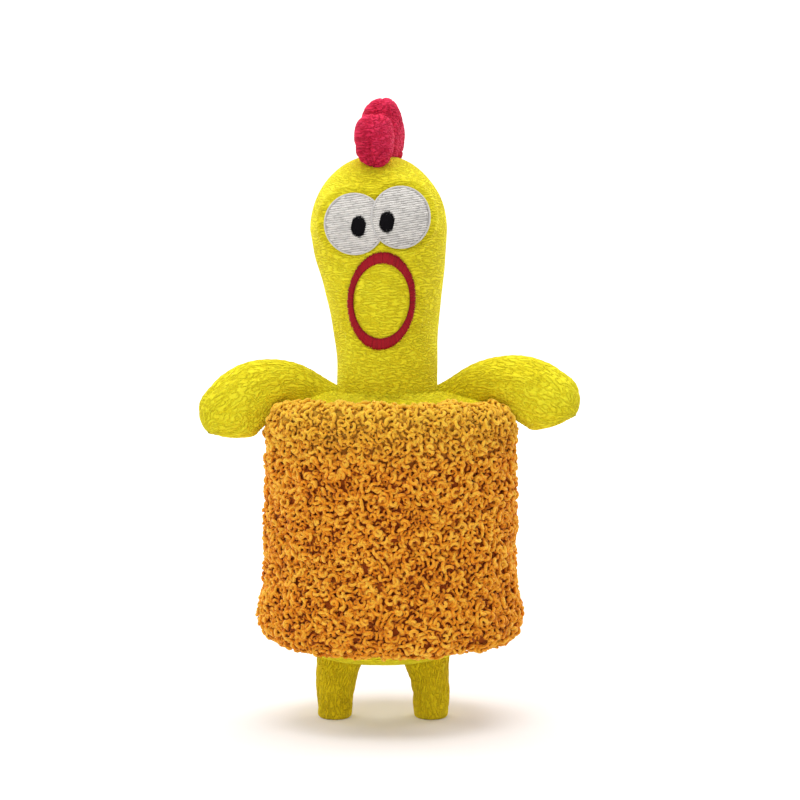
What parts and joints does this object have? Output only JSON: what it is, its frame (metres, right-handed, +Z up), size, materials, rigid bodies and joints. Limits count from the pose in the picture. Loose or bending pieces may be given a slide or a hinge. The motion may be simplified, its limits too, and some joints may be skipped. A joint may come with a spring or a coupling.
{
  "type": "stuffed toy chicken",
  "caption": "Stuffed plush chicken that stands on two short legs, with a curly fleece body, bent wings, an embroidered open-mouth face, a lobed comb and a squeaker inside.",
  "frame": {"origin": "on the floor under the middle of the toy, at the centre of its bounding box's base", "axes": "+Z up, the face and belly face -Y, the toy's own left wing is on the +X side"},
  "size_m": [0.1983, 0.0994, 0.3203],
  "materials": {
    "golden_fleece": "matte",
    "yellow_plush": "matte",
    "crimson_plush": "matte",
    "eye_embroidery": "satin",
    "pupil_embroidery": "satin",
    "mouth_embroidery": "satin",
    "fibre_filling": "matte",
    "pouch_cloth": "matte",
    "squeaker_plastic": "matte",
    "reed_film": "matte"
  },
  "bodies": {
    "torso": {"fleece_back_lower": "golden_fleece", "fleece_back_upper": "golden_fleece", "fleece_front_lower": "golden_fleece", "fleece_front_upper": "golden_fleece", "squeaker_bellows": "squeaker_plastic", "squeaker_cup": "squeaker_plastic", "squeaker_pouch_back": "pouch_cloth", "squeaker_pouch_front": "pouch_cloth", "squeaker_reed": "squeaker_plastic", "torso_filling_back": "fibre_filling", "torso_filling_front": "fibre_filling", "reed_leaf": "reed_film", "shoulder_yoke": "yellow_plush", "seat_panel": "yellow_plush"},
    "squeaker_button": {"squeaker_crown": "squeaker_plastic"},
    "neck": {"neck_back_panel": "yellow_plush", "neck_filling": "fibre_filling", "neck_front_panel": "yellow_plush"},
    "head": {"face_panel": "yellow_plush", "head_back_panel": "yellow_plush", "head_filling": "fibre_filling", "left_eye": "eye_embroidery", "right_eye": "eye_embroidery", "left_pupil": "pupil_embroidery", "right_pupil": "pupil_embroidery", "mouth_ring": "mouth_embroidery"},
    "comb": {"comb_filling": "fibre_filling", "comb_left_panel": "crimson_plush", "comb_right_panel": "crimson_plush"},
    "left_wing": {"left_wing_back_panel": "yellow_plush", "left_wing_filling": "fibre_filling", "left_wing_front_panel": "yellow_plush"},
    "right_wing": {"right_wing_back_panel": "yellow_plush", "right_wing_filling": "fibre_filling", "right_wing_front_panel": "yellow_plush"},
    "left_leg": {"left_leg_back_panel": "yellow_plush", "left_leg_filling": "fibre_filling", "left_leg_front_panel": "yellow_plush"},
    "right_leg": {"right_leg_back_panel": "yellow_plush", "right_leg_filling": "fibre_filling", "right_leg_front_panel": "yellow_plush"}
  },
  "joints": [
    {"name": "neck_bend", "type": "hinge", "parent": "torso", "child": "neck", "pos_m": [-0.0015, 0, 0.172], "axis": [1, 0, 0], "range_deg": [-30, 30], "stiffness_Nm_per_rad": 0.3},
    {"name": "head_tilt", "type": "hinge", "parent": "neck", "child": "head", "pos_m": [-0.0015, 0, 0.184], "axis": [0, 1, 0], "range_deg": [-15, 15], "stiffness_Nm_per_rad": 0.3},
    {"name": "comb_flop", "type": "hinge", "parent": "head", "child": "comb", "pos_m": [-0.0042, 0, 0.2934], "axis": [0.2419, 0.9703, 0], "range_deg": [-20, 20], "stiffness_Nm_per_rad": 0.02},
    {"name": "left_wing_flap", "type": "hinge", "parent": "torso", "child": "left_wing", "pos_m": [0.0334, 0, 0.1696], "axis": [0, -1, 0], "range_deg": [0, 50], "stiffness_Nm_per_rad": 0.08},
    {"name": "right_wing_flap", "type": "hinge", "parent": "torso", "child": "right_wing", "pos_m": [-0.0364, 0, 0.1696], "axis": [0, 1, 0], "range_deg": [0, 50], "stiffness_Nm_per_rad": 0.08},
    {"name": "left_leg_swing", "type": "hinge", "parent": "torso", "child": "left_leg", "pos_m": [0.02055, 0, 0.0265], "axis": [1, 0, 0], "range_deg": [-40, 40], "stiffness_Nm_per_rad": 0.8},
    {"name": "right_leg_swing", "type": "hinge", "parent": "torso", "child": "right_leg", "pos_m": [-0.02835, 0, 0.0265], "axis": [1, 0, 0], "range_deg": [-40, 40], "stiffness_Nm_per_rad": 0.8},
    {"name": "squeaker_press", "type": "slide", "parent": "torso", "child": "squeaker_button", "axis": [0, 1, 0], "range_m": [0, 0.006], "stiffness_N_per_m": 900, "deforming": ["squeaker_bellows"]}
  ]
}
